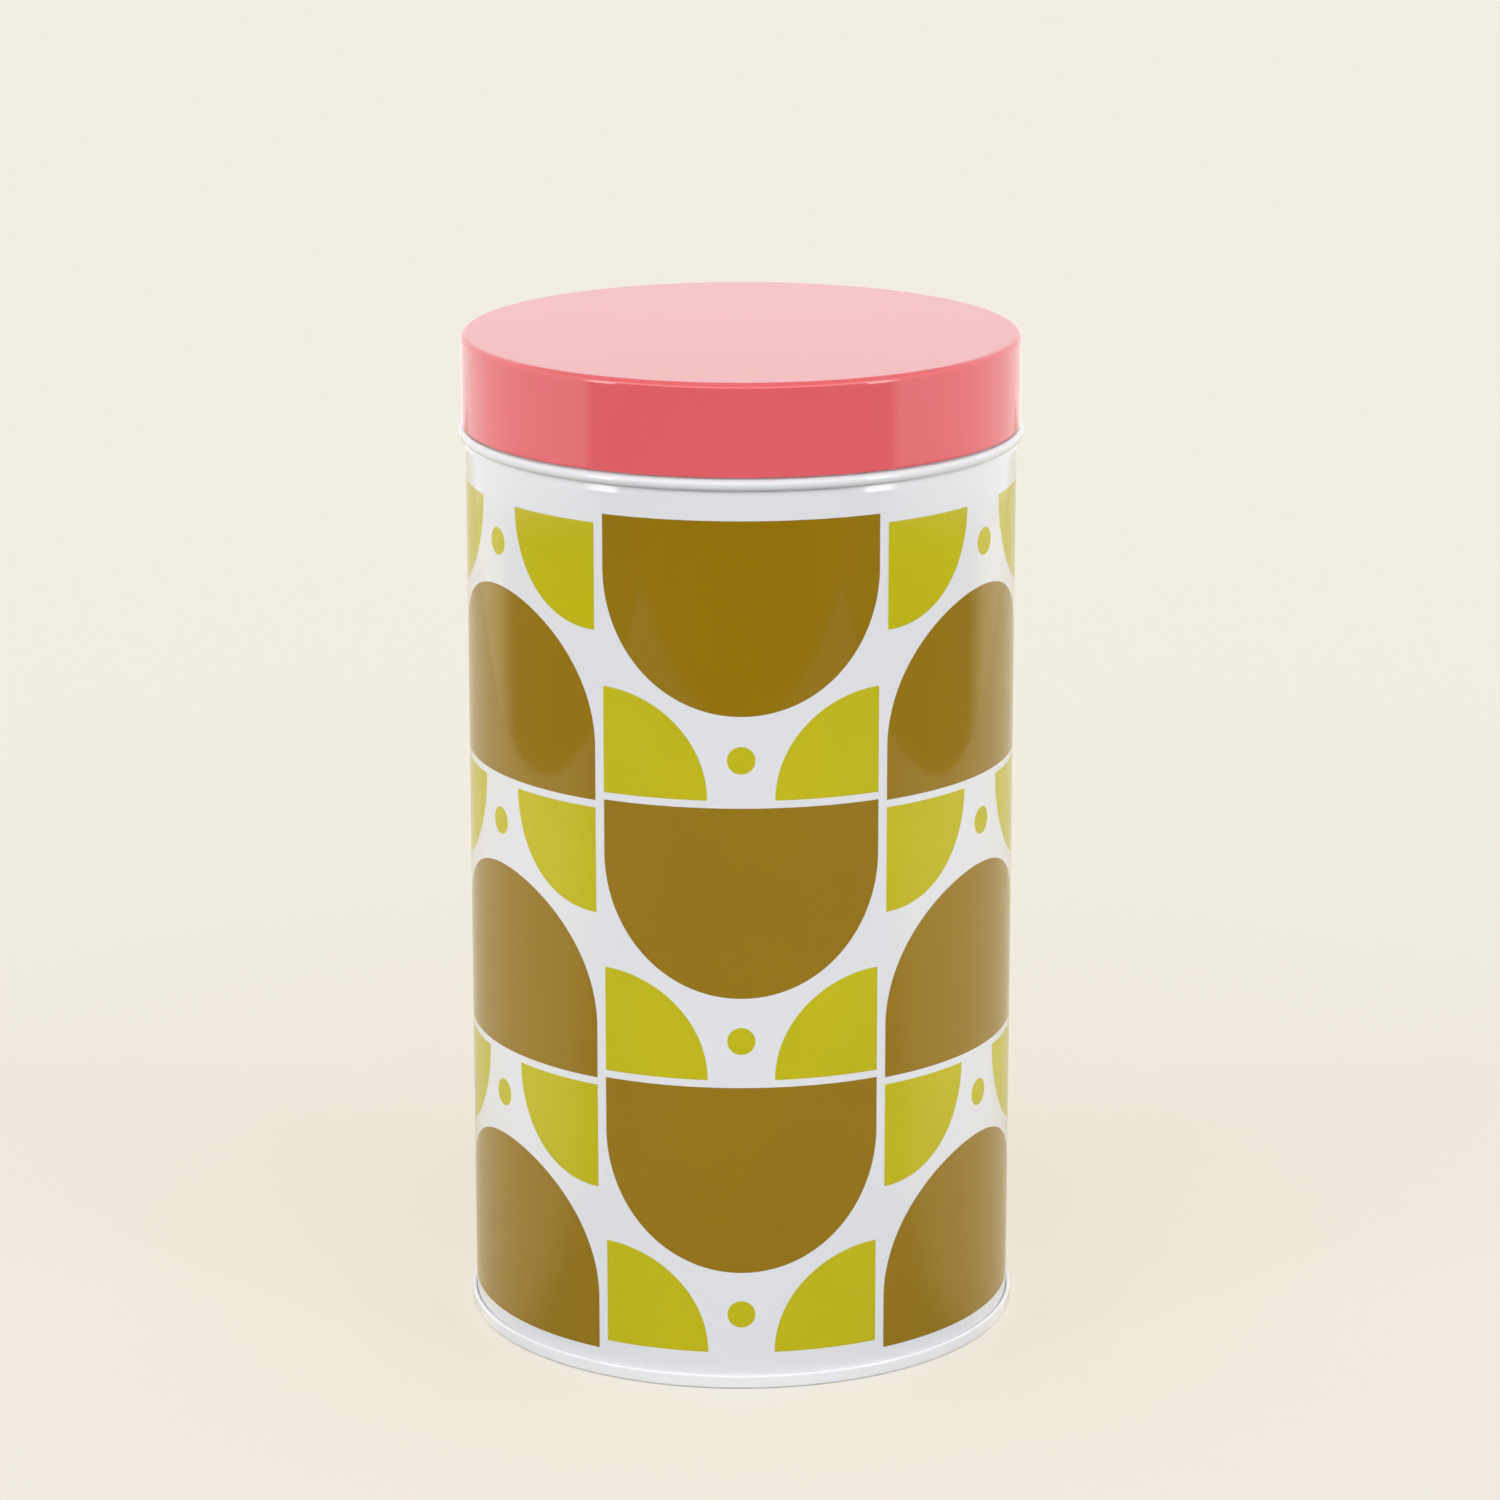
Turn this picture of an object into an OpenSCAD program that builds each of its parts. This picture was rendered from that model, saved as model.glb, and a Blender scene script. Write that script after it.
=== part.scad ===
// Round coffee tin: a rolled body with a double-seamed base, a slip-over outer lid,
// and an inner lid that presses into the mouth with a silicone seal and a knob.
// The tin stands on its base seam at z = 0, and its axis is Z. Sizes are in millimetres.

/* [Body] */
// Outside diameter of the side wall
wall_d = 103.5; // [80:0.5:150]
// Height of the closed tin, from the base seam to the top of the outer lid
tin_h = 191; // [120:1:280]
// Thickness of the tinplate
sheet = 0.25; // [0.2:0.01:0.32]
// Width of the folded side seam at the back
side_seam_w = 5; // [4:0.5:8]

/* [Base] */
// Height of the base seam
seam_h = 2.7; // [2.5:0.1:4]
// Gap between the folded layers of a seam
seam_gap = 0.03; // [0.02:0.01:0.06]
// Height of the base panel above the ground
base_rise = 4; // [3:0.5:8]
// Height of the sealing compound in the base seam
compound_h = 0.3; // [0.2:0.05:0.5]
// Width of each stiffening ring in the panels
ring_w = 5; // [4:0.5:8]
// Rise of each stiffening ring
ring_rise = 0.7; // [0.4:0.1:1]
// Distance from the edge of the base panel to its outer ring
ring_inset = 6; // [4:0.5:9]
// Spacing of the two rings in the base panel
ring_pitch = 21; // [12:0.5:22]

/* [Stop bead] */
// How far the bead stands out of the wall
bead_out = 1.25; // [1.1:0.05:2]
// Height of the bead
bead_h = 2.1; // [1.8:0.05:3]
// How far the wall is drawn in under the bead
bead_pinch = 0.15; // [0.05:0.05:0.3]
// Height of the drawn-in stretch
bead_pinch_h = 1.6; // [1.2:0.1:3]

/* [Outer lid] */
// Height of the outer lid
lid_h = 17.2; // [14:0.2:30]
// Radius of the lid's top edge, to the middle of the sheet
lid_edge_r = 1; // [0.8:0.1:3]
// Radial gap between the lid's hem and the wall
lid_fit = 0.2; // [0.15:0.05:0.4]
// Gap between the lid's edge and the bead
lid_seat = 0.3; // [0.15:0.05:0.5]
// Height of the hem inside the lid's edge
hem_h = 2.4; // [1.6:0.1:4]
// Gap between the two layers of a hem
hem_gap = 0.05; // [0.03:0.01:0.1]

/* [Mouth] */
// Radius of the curl round the mouth, to the middle of the sheet
curl_r = 1; // [0.8:0.1:1.6]

/* [Inner lid] */
// Depth of the inner lid's panel below its flange
inner_depth = 11; // [10:0.5:20]
// Distance from the edge of the inner lid's panel to its ring
inner_ring_inset = 13; // [6:0.5:16]
// Width of the hem under the flange
flange_hem = 2.2; // [1.5:0.1:3]
// Gap between the flange and the mouth
inner_seat = 0.15; // [0.1:0.05:0.4]
// Gap between the flange and the outer lid
lid_air = 0.6; // [0.4:0.1:2]
// Height of the seal
seal_h = 5.4; // [4.5:0.1:6.5]
// Thickness of the seal behind its fins
seal_t = 0.8; // [0.6:0.1:1.2]
// How far the fins stand out of the seal
fin_out = 0.75; // [0.5:0.05:1]
// Radial gap between the fins and the mouth
seal_fit = 0.12; // [0.1:0.02:0.3]
// Number of fins
fin_count = 3; // [2:1:4]

/* [Knob] */
// Diameter of the knob's head
knob_d = 19; // [14:0.5:26]
// Diameter of the knob's foot
knob_foot_d = 12; // [9:0.5:16]
// Diameter of the knob's waist
knob_waist_d = 8.4; // [7:0.2:12]
// How far the knob's top stays below the flange
knob_drop = 1.4; // [1:0.1:3]
// Diameter of the knob's screw
screw_d = 3; // [2.5:0.5:4]
// Length of the screw's thread inside the knob
screw_grip = 5; // [3:0.5:6]
// Thickness of the sealing washer
washer_t = 1; // [0.6:0.1:2]

/* [Hidden] */
$fn = 120;

// Segments in each bend of a sheet
bend_steps = 8;

// Radii to the middle of the sheet, from the wall outwards and inwards
layer = sheet + seam_gap;
hem_layer = sheet + hem_gap;
wall_mid = wall_d / 2 - sheet / 2;
chuck_mid = wall_mid - layer;
cover_hook_mid = wall_mid + layer;
body_hook_mid = wall_mid + 2 * layer;
seam_mid = wall_mid + 3 * layer;
bead_mid = wall_mid + bead_out;
hem_mid = wall_d / 2 + lid_fit + sheet / 2;
lid_mid = hem_mid + hem_layer;

// Base seam, where the body's edge and the base's edge hook into each other
seam_corner_r = 0.4;
foot_z = sheet / 2 + layer;
cover_hook_tip = foot_z + layer;
body_hook_tip = seam_h - sheet / 2 - layer - compound_h;
panel_corner_r = 0.8;

// Stop bead that the outer lid rests on
bead_foot_r = 0.4;
bead_pinch_bend_r = 6;
bead_top = tin_h - lid_h - lid_seat;
bead_nose_r = min((bead_h - sheet) / 2, bead_out - bead_foot_r);

// Inner lid and mouth, from the underside of the outer lid down
flange_z = tin_h - sheet - lid_air - sheet / 2;
flange_under = flange_z - hem_layer - sheet / 2;
mouth_z = flange_under - inner_seat - sheet / 2;
mouth_mid = wall_mid - 2 * curl_r;
mouth_r = mouth_mid - sheet / 2;
flange_inset = 0.15;
flange_mid = wall_mid - flange_inset;
fin_r = mouth_r - seal_fit;
seal_r = fin_r - fin_out - seal_t;
plug_mid = seal_r - seam_gap - sheet / 2;
pan_z = flange_z - inner_depth;
flange_corner_r = 0.6;
pan_corner_r = 1.6;
seal_top = flange_z - sheet / 2 - flange_corner_r;
rib_h = 1.6;
rib_out = 0.7;
rib_bend_r = 0.3;
rib_top = seal_top - seal_h - seam_gap;
fin_root_h = 0.7;
fin_tip_h = 0.2;

// Knob, from its foot on the inner lid's panel to its top
knob_z = pan_z + sheet / 2;
knob_h = inner_depth - sheet / 2 - knob_drop;
knob_foot_h = 1.6;
knob_foot_slope = 0.6;
knob_foot_bend_r = 0.3;
knob_lip_bend_r = 0.5;
knob_waist_bend_r = 0.8;
knob_head_h = 4;
knob_head_slope = 1;
knob_top_bend_r = 1.6;

// Screw, washer and the holes that they pass through, in proportion to the screw
screw_play = 0.05;
hole_play = 0.2;
bore_spare = 0.6;
screw_hole_r = screw_d / 2 + hole_play;
knob_bore_r = screw_d / 2 + screw_play;
washer_r = screw_d * 1.5;
washer_top = pan_z - sheet / 2;
screw_head_r = screw_d * 0.93;
screw_head_h = screw_d * 0.65;
screw_head_taper = screw_d * 0.19;
screw_slot_w = screw_d * 0.2;
screw_slot_l = screw_d * 1.02;

// How far a cut runs past the face it cuts
overrun = 1;

// Side seam
side_seam_t = 2 * sheet;
side_seam_margin = 1;
groove_w = 0.4;
groove_depth = 0.1;

function unit(v) = v / norm(v);
function left(v) = [-v.y, v.x];
function flat(p) = [p.x, p.y];
function reversed(p) = [for (i = [len(p) - 1:-1:0]) p[i]];

// Points of the bend of radius r that rounds corner b of the line a, b, c
function bend(a, b, c, r) =
    let (
        u = unit(a - b),
        v = unit(c - b),
        half = acos(u * v) / 2,
        centre = b + unit(u + v) * r / sin(half),
        start = b + u * r / tan(half) - centre,
        from = atan2(start.y, start.x),
        swing = sign(left(b - a) * (c - b)) * (180 - 2 * half)
    )
    [for (i = [0:bend_steps]) let (q = from + swing * i / bend_steps) centre + r * [cos(q), sin(q)]];

// Line through corners given as [r, z, bend radius], with each corner bent
function bent(p) =
    let (
        q = [for (corner = p) flat(corner)],
        rounded = [
            for (i = [0:len(p) - 1])
                each is_undef(p[i][2]) ? [q[i]] : bend(q[i - 1], q[i], q[i + 1], p[i][2])
        ]
    )
    [for (i = [0:len(rounded) - 1]) if (i == 0 || norm(rounded[i] - rounded[i - 1]) > 0.001) rounded[i]];

// The line p moved sideways by d
function beside(p, d) = [
    for (i = [0:len(p) - 1])
        let (
            last = max(i, 1),
            next = min(i + 1, len(p) - 1),
            before = left(unit(p[last] - p[last - 1])),
            after = left(unit(p[next] - p[next - 1]))
        )
        p[i] + d * (before + after) / (1 + before * after)
];

// Corners of a stiffening ring in a panel at height z, starting at radius r
function ring(r, z) = [
    [r, z, ring_rise],
    [r + ring_rise, z + ring_rise, ring_rise],
    [r + ring_w - ring_rise, z + ring_rise, ring_rise],
    [r + ring_w, z, ring_rise]
];

// A sheet of tinplate formed along the corners and spun round the axis
module spun_sheet(corners) {
    line = bent(corners);
    rotate_extrude() polygon(concat(beside(line, sheet / 2), reversed(beside(line, -sheet / 2))));
}

// A ring of rectangular section
module spun_ring(r_in, r_out, z_low, z_high) {
    rotate_extrude() translate([r_in, z_low]) square([r_out - r_in, z_high - z_low]);
}

// Flattened fold of the side seam, inside the wall at the back
module side_seam_fold() {
    wall_in = wall_d / 2 - sheet;
    low = base_rise + ring_rise + side_seam_margin;
    high = bead_top - bead_h - bead_pinch_h - side_seam_margin;
    translate([0, 0, low]) linear_extrude(high - low) intersection() {
        difference() {
            circle(wall_in + sheet / 2);
            circle(wall_in - side_seam_t);
        }
        translate([-side_seam_w / 2, 0]) square([side_seam_w, wall_d]);
    }
}

// Line on the outside where the side seam closes
module side_seam_groove() {
    low = seam_h + side_seam_margin;
    high = bead_top - bead_h - bead_pinch_h - side_seam_margin;
    translate([-groove_w / 2, wall_d / 2 - groove_depth, low]) cube([groove_w, sheet, high - low]);
}

module body_wall() {
    bead_low = bead_top - bead_h;
    curl_tip = wall_mid - sheet - seam_gap;
    color("white") difference() {
        union() {
            spun_sheet([
                [body_hook_mid, body_hook_tip],
                [body_hook_mid, foot_z, layer],
                [wall_mid, foot_z, layer],
                [wall_mid, bead_low - bead_pinch_h, bead_pinch_bend_r],
                [wall_mid - bead_pinch, bead_low + sheet / 2, bead_foot_r],
                [bead_mid, bead_low + sheet / 2, bead_nose_r],
                [bead_mid, bead_top - sheet / 2, bead_nose_r],
                [wall_mid, bead_top - sheet / 2, bead_foot_r],
                [wall_mid, mouth_z, curl_r],
                [mouth_mid, mouth_z, curl_r],
                [mouth_mid, mouth_z - 2 * curl_r, curl_r],
                [curl_tip, mouth_z - 2 * curl_r]
            ]);
            side_seam_fold();
        }
        side_seam_groove();
    }
}

module base_end() {
    base_ring_r = chuck_mid - ring_inset - ring_w;
    color("whitesmoke") spun_sheet(concat(
        [[0, base_rise]],
        ring(base_ring_r - ring_pitch, base_rise),
        ring(base_ring_r, base_rise),
        [
            [chuck_mid, base_rise, panel_corner_r],
            [chuck_mid, sheet / 2, seam_corner_r],
            [seam_mid, sheet / 2, seam_corner_r],
            [seam_mid, seam_h - sheet / 2, layer],
            [cover_hook_mid, seam_h - sheet / 2, layer],
            [cover_hook_mid, cover_hook_tip]
        ]
    ));
}

module base_seam_compound() {
    color("dimgray") spun_ring(
        body_hook_mid - sheet / 2, body_hook_mid + sheet / 2,
        body_hook_tip + seam_gap, body_hook_tip + compound_h
    );
}

module outer_lid() {
    skirt_low = tin_h - lid_h;
    color("lightcoral") spun_sheet([
        [0, tin_h - sheet / 2],
        [lid_mid, tin_h - sheet / 2, lid_edge_r],
        [lid_mid, skirt_low + sheet / 2, hem_layer / 2],
        [hem_mid, skirt_low + sheet / 2, hem_layer / 2],
        [hem_mid, skirt_low + hem_h]
    ]);
}

module inner_lid_pan() {
    color("silver") spun_sheet(concat(
        [[screw_hole_r, pan_z]],
        ring(plug_mid - inner_ring_inset - ring_w, pan_z),
        [
            [plug_mid, pan_z, pan_corner_r],
            [plug_mid, rib_top - rib_h, rib_bend_r],
            [plug_mid + rib_out, rib_top - rib_h / 2, rib_bend_r],
            [plug_mid, rib_top, rib_bend_r],
            [plug_mid, flange_z, flange_corner_r],
            [flange_mid, flange_z, hem_layer / 2],
            [flange_mid, flange_z - hem_layer, hem_layer / 2],
            [flange_mid - flange_hem, flange_z - hem_layer]
        ]
    ));
}

module inner_lid_seal() {
    back_r = seal_r + seal_t;
    fin_pitch = (seal_h - fin_root_h) / fin_count;
    color("gainsboro") rotate_extrude() union() {
        translate([seal_r, seal_top - seal_h]) square([seal_t, seal_h]);
        for (i = [0:fin_count - 1]) {
            low = seal_top - seal_h + fin_pitch * (i + 0.5);
            polygon([
                [back_r - seal_t / 2, low],
                [fin_r, low + fin_root_h - fin_tip_h],
                [fin_r, low + fin_root_h],
                [back_r - seal_t / 2, low + fin_root_h]
            ]);
        }
    }
}

module inner_lid_knob() {
    head_r = knob_d / 2;
    foot_r = knob_foot_d / 2;
    waist_r = knob_waist_d / 2;
    head_low = knob_h - knob_head_h;
    color("lightgray") translate([0, 0, knob_z]) difference() {
        rotate_extrude() polygon(bent([
            [0, 0],
            [foot_r, 0, knob_foot_bend_r],
            [foot_r, knob_foot_h, knob_lip_bend_r],
            [waist_r, knob_foot_h + knob_foot_slope, knob_waist_bend_r],
            [waist_r, head_low - knob_head_slope, knob_waist_bend_r],
            [head_r, head_low, knob_waist_bend_r],
            [head_r, knob_h, knob_top_bend_r],
            [0, knob_h]
        ]));
        translate([0, 0, -overrun]) cylinder(h = overrun + screw_grip + bore_spare, r = knob_bore_r);
    }
}

module knob_washer() {
    color("darkgray") spun_ring(knob_bore_r, washer_r, washer_top - washer_t, washer_top);
}

module knob_screw() {
    head_top = washer_top - washer_t;
    color("silver") difference() {
        union() {
            translate([0, 0, head_top]) cylinder(h = washer_t + sheet + screw_grip, r = screw_d / 2);
            translate([0, 0, head_top - screw_head_h]) cylinder(
                h = screw_head_h, r1 = screw_head_r - screw_head_taper, r2 = screw_head_r
            );
        }
        for (turn = [0, 90]) rotate(turn) translate([0, 0, head_top - screw_head_h]) cube(
            [screw_slot_l, screw_slot_w, screw_head_h], center = true
        );
    }
}

body_wall();
base_end();
base_seam_compound();
outer_lid();
inner_lid_pan();
inner_lid_seal();
inner_lid_knob();
knob_washer();
knob_screw();
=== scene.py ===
import math

import bmesh
import bpy
from mathutils import Matrix, Vector


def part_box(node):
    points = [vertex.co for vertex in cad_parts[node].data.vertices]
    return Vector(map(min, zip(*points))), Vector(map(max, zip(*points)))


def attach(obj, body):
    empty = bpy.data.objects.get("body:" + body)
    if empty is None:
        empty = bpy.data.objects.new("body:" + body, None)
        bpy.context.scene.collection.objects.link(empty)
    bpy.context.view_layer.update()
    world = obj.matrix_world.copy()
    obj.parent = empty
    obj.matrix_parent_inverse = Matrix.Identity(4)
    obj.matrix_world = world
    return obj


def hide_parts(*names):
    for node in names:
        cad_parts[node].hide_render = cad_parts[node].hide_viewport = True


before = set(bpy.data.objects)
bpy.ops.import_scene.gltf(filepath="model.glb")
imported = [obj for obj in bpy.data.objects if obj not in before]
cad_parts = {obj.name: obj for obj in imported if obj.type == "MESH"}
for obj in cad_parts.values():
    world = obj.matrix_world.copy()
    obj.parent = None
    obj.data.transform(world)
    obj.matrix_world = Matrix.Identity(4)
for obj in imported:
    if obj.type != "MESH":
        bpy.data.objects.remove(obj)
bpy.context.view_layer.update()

# ---------------------------------------------------------------------------------------------
# Body wall
# One strip of tinplate, white enamel and print outside and bare inside, rolled into a tube. Its
# edges are locked in a flattened fold at the back, its foot is hooked into the base end, a bead
# is rolled in below the neck, and the mouth is curled inwards.
# ---------------------------------------------------------------------------------------------

mm = 0.001
sheet = 0.25 * mm
seam_gap = 0.03 * mm
layer = sheet + seam_gap
bend_steps = 10
guard = 0.15 * mm
same_place = 0.001 * mm


def bent_line(corners):
    """The line through corners (radius, height, bend radius), round at each bend, with a point near
    each end of a long straight stretch so that the shading of the bend stays in the bend."""
    places = [Vector(corner[:2]) for corner in corners]
    rounded = []
    for i, corner in enumerate(corners):
        if len(corner) < 3:
            rounded.append(places[i])
            continue
        back = (places[i - 1] - places[i]).normalized()
        on = (places[i + 1] - places[i]).normalized()
        half = back.angle(on) / 2
        centre = places[i] + (back + on).normalized() * corner[2] / math.sin(half)
        start = places[i] + back * corner[2] / math.tan(half) - centre
        turn = math.copysign(math.pi - 2 * half, on.x * back.y - on.y * back.x)
        for part in range(bend_steps + 1):
            rounded.append(centre + Matrix.Rotation(turn * part / bend_steps, 2) @ start)
    line = [rounded[0]]
    for place in rounded[1:]:
        stretch = place - line[-1]
        if stretch.length < same_place:
            continue
        if stretch.length > 6 * guard:
            close = stretch.normalized() * guard
            line += [line[-1] + close, place - close]
        line.append(place)
    return line


def beside(line, distance):
    """The line moved sideways, to its left where distance is positive."""
    moved = []
    for i, place in enumerate(line):
        this, following = max(i, 1), min(i + 1, len(line) - 1)
        before = (line[this] - line[this - 1]).normalized()
        after = (line[following] - line[following - 1]).normalized()
        sideways = Vector((-before.y - after.y, before.x + after.x))
        moved.append(place + sideways * distance / (1 + before.dot(after)))
    return moved


def sheet_outline(corners):
    """The closed outline of a formed sheet: its left side, a cut edge, its right side and a cut edge."""
    line = bent_line(corners)
    points = beside(line, sheet / 2) + beside(line, -sheet / 2)[::-1]
    sides = [0] * len(line) + [1] * len(line)
    sides[len(line) - 1] = sides[-1] = 2
    return points, sides


def maths(tree, operation, *values):
    """A Math node on sockets or numbers, and its result."""
    made = tree.nodes.new("ShaderNodeMath")
    made.operation = operation
    for socket, value in zip(made.inputs, values):
        if isinstance(value, bpy.types.NodeSocket):
            tree.links.new(value, socket)
        else:
            socket.default_value = value
    return made.outputs[0]


def node(tree, kind, values=(), **settings):
    """A node with its settings, and its inputs by name linked to sockets or set to values."""
    made = tree.nodes.new(kind)
    for name, setting in settings.items():
        setattr(made, name, setting)
    for name, value in dict(values).items():
        if isinstance(value, bpy.types.NodeSocket):
            tree.links.new(value, made.inputs[name])
        else:
            made.inputs[name].default_value = value
    return made


def spinning_tree():
    """Geometry Nodes that spin an outline round the tin's axis, with the side seam at the back."""
    tree = bpy.data.node_groups.new("spin_round_axis", "GeometryNodeTree")
    sizes = ("Crowding", "Seam low", "Seam high", "Wall radius", "Groove depth", "Groove width",
             "Fold thickness", "Fold width")
    tree.interface.new_socket("Outline", in_out="INPUT", socket_type="NodeSocketGeometry")
    tree.interface.new_socket("Steps", in_out="INPUT", socket_type="NodeSocketInt")
    for name in sizes:
        tree.interface.new_socket(name, in_out="INPUT", socket_type="NodeSocketFloat")
    for name in ("Left finish", "Right finish", "Edge finish"):
        tree.interface.new_socket(name, in_out="INPUT", socket_type="NodeSocketMaterial")
    tree.interface.new_socket("Piece", in_out="OUTPUT", socket_type="NodeSocketGeometry")
    given = tree.nodes.new("NodeGroupInput").outputs
    position = tree.nodes.new("GeometryNodeInputPosition").outputs[0]
    counted = node(tree, "GeometryNodeAttributeDomainSize", {"Geometry": given["Outline"]})
    count = counted.outputs["Point Count"]

    # A flat grid, a column for each point of the outline and a row for each step round the axis
    grid = node(tree, "GeometryNodeMeshGrid", {
        "Size X": count, "Size Y": given["Steps"],
        "Vertices X": maths(tree, "ADD", count, 1), "Vertices Y": maths(tree, "ADD", given["Steps"], 1),
    })
    place = node(tree, "ShaderNodeSeparateXYZ", {"Vector": position}).outputs
    column = maths(tree, "ADD", place["X"], maths(tree, "MULTIPLY", count, 0.5))
    row = maths(tree, "ADD", place["Y"], maths(tree, "MULTIPLY", given["Steps"], 0.5))
    on_outline = maths(tree, "MODULO", maths(tree, "ROUND", column), count)
    sampled = node(tree, "GeometryNodeSampleIndex", {
        "Geometry": given["Outline"], "Index": on_outline, "Value": position,
    }, data_type="FLOAT_VECTOR")
    section = node(tree, "ShaderNodeSeparateXYZ", {"Vector": sampled.outputs["Value"]}).outputs
    radius, height = section["X"], section["Z"]

    # The steps crowd together at the back, where the side seam needs them
    even = maths(tree, "DIVIDE", maths(tree, "MULTIPLY", row, math.tau), given["Steps"])
    crowded = maths(tree, "MULTIPLY", given["Crowding"], maths(tree, "SINE", even))
    angle = maths(tree, "SUBTRACT", even, crowded)

    # The groove where the seam closes outside, and the flattened fold inside
    off_seam = maths(tree, "MULTIPLY", maths(tree, "PINGPONG", angle, math.pi), given["Wall radius"])
    above = maths(tree, "GREATER_THAN", height, given["Seam low"])
    below = maths(tree, "LESS_THAN", height, given["Seam high"])
    inside = maths(tree, "LESS_THAN", radius, given["Wall radius"])
    across = maths(tree, "DIVIDE", off_seam, maths(tree, "MULTIPLY", given["Groove width"], 0.5))
    dip = maths(tree, "EXPONENT", maths(tree, "MULTIPLY", maths(tree, "MULTIPLY", across, across), -1))
    groove = maths(tree, "MULTIPLY", maths(tree, "MULTIPLY", dip, given["Groove depth"]),
                   maths(tree, "SUBTRACT", 1, inside))
    in_fold = maths(tree, "LESS_THAN", off_seam, maths(tree, "MULTIPLY", given["Fold width"], 0.5))
    fold = maths(tree, "MULTIPLY", maths(tree, "MULTIPLY", in_fold, given["Fold thickness"]), inside)
    seam = maths(tree, "MULTIPLY", maths(tree, "ADD", groove, fold), maths(tree, "MULTIPLY", above, below))
    out = maths(tree, "SUBTRACT", radius, seam)
    spun = node(tree, "ShaderNodeCombineXYZ", {
        "X": maths(tree, "MULTIPLY", out, maths(tree, "MULTIPLY", maths(tree, "SINE", angle), -1)),
        "Y": maths(tree, "MULTIPLY", out, maths(tree, "COSINE", angle)),
        "Z": height,
    })

    # Each face keeps the side of the sheet that its stretch of the outline is on
    captured = node(tree, "GeometryNodeCaptureAttribute", {"Geometry": grid.outputs["Mesh"]}, domain="FACE")
    captured.capture_items.new("FLOAT", "Column")
    tree.links.new(column, captured.inputs["Column"])
    named_side = node(tree, "GeometryNodeInputNamedAttribute", {"Name": "side"}, data_type="INT")
    side = node(tree, "GeometryNodeSampleIndex", {
        "Geometry": given["Outline"], "Index": maths(tree, "FLOOR", captured.outputs["Column"]),
        "Value": named_side.outputs["Attribute"],
    }, data_type="INT").outputs["Value"]
    turned = node(tree, "GeometryNodeSetPosition", {
        "Geometry": captured.outputs["Geometry"], "Position": spun.outputs["Vector"],
    })
    from_axis = maths(tree, "ADD", maths(tree, "ABSOLUTE", place["X"]), maths(tree, "ABSOLUTE", place["Y"]))
    open_axis = node(tree, "GeometryNodeDeleteGeometry", {
        "Geometry": turned.outputs["Geometry"], "Selection": maths(tree, "LESS_THAN", from_axis, same_place),
    }, domain="FACE")
    closed = node(tree, "GeometryNodeMergeByDistance", {
        "Geometry": open_axis.outputs["Geometry"], "Distance": same_place,
    })
    smooth = node(tree, "GeometryNodeSetShadeSmooth", {"Geometry": closed.outputs["Geometry"]})
    finished = node(tree, "GeometryNodeRealizeInstances", {"Geometry": smooth.outputs["Geometry"]})
    for number, name in enumerate(("Left finish", "Right finish", "Edge finish")):
        finished = node(tree, "GeometryNodeSetMaterial", {
            "Geometry": finished.outputs["Geometry"], "Material": given[name],
            "Selection": maths(tree, "COMPARE", side, number, 0.5),
        })
    result = tree.nodes.new("NodeGroupOutput")
    tree.links.new(finished.outputs["Geometry"], result.inputs["Piece"])
    return tree


spin = spinning_tree()
sharp_angle = math.radians(40)


def spun_piece(name, outline, **inputs):
    """A plain mesh spun from an outline, given as its points and the side that each one starts."""
    points, sides = outline
    section = bpy.data.meshes.new(name + "_section")
    edges = [(i, (i + 1) % len(points)) for i in range(len(points))]
    section.from_pydata([(point.x, 0, point.y) for point in points], edges, [])
    section.attributes.new("side", "INT", "POINT").data.foreach_set("value", sides)
    form = bpy.data.objects.new(name + "_form", section)
    bpy.context.scene.collection.objects.link(form)
    modifier = form.modifiers.new("spin", "NODES")
    modifier.node_group = spin
    for socket in spin.interface.items_tree:
        if socket.in_out == "INPUT" and socket.name in inputs:
            modifier[socket.identifier] = inputs[socket.name]
    made = bpy.data.meshes.new_from_object(form.evaluated_get(bpy.context.evaluated_depsgraph_get()))
    bpy.data.objects.remove(form)
    made.set_sharp_from_angle(angle=sharp_angle)
    piece = bpy.data.objects.new(name, made)
    bpy.context.scene.collection.objects.link(piece)
    return piece


def new_material(name):
    """A material with its tree, its shader and the position on the piece."""
    material = bpy.data.materials.new(name)
    material.use_nodes = True
    tree = material.node_tree
    shader = tree.nodes["Principled BSDF"]
    place = tree.nodes.new("ShaderNodeTexCoord").outputs["Object"]
    return material, tree, shader, place


def noise(tree, place, scale, detail=2.0, stretch=(1, 1, 1)):
    """Noise with that many waves to the metre, stretched along the axes."""
    mapped = node(tree, "ShaderNodeMapping", {"Vector": place, "Scale": stretch}).outputs["Vector"]
    made = node(tree, "ShaderNodeTexNoise", {"Vector": mapped, "Scale": scale, "Detail": detail})
    return made.outputs["Fac"]


def way_from_front(tree, axes):
    """The angle round the tin's axis from its front, in radians, positive to the right."""
    return maths(tree, "ARCTAN2", axes["X"], maths(tree, "MULTIPLY", axes["Y"], -1))


def stride(tree, x, y):
    """The length of a step of x one way and y square to it."""
    squares = maths(tree, "ADD", maths(tree, "MULTIPLY", x, x), maths(tree, "MULTIPLY", y, y))
    return maths(tree, "SQRT", squares)


def between(tree, share, low, high):
    """low where share is 0 and high where it is 1, each a socket or a number."""
    made = node(tree, "ShaderNodeMapRange", {"Value": share, "To Min": low, "To Max": high})
    return made.outputs["Result"]


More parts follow.
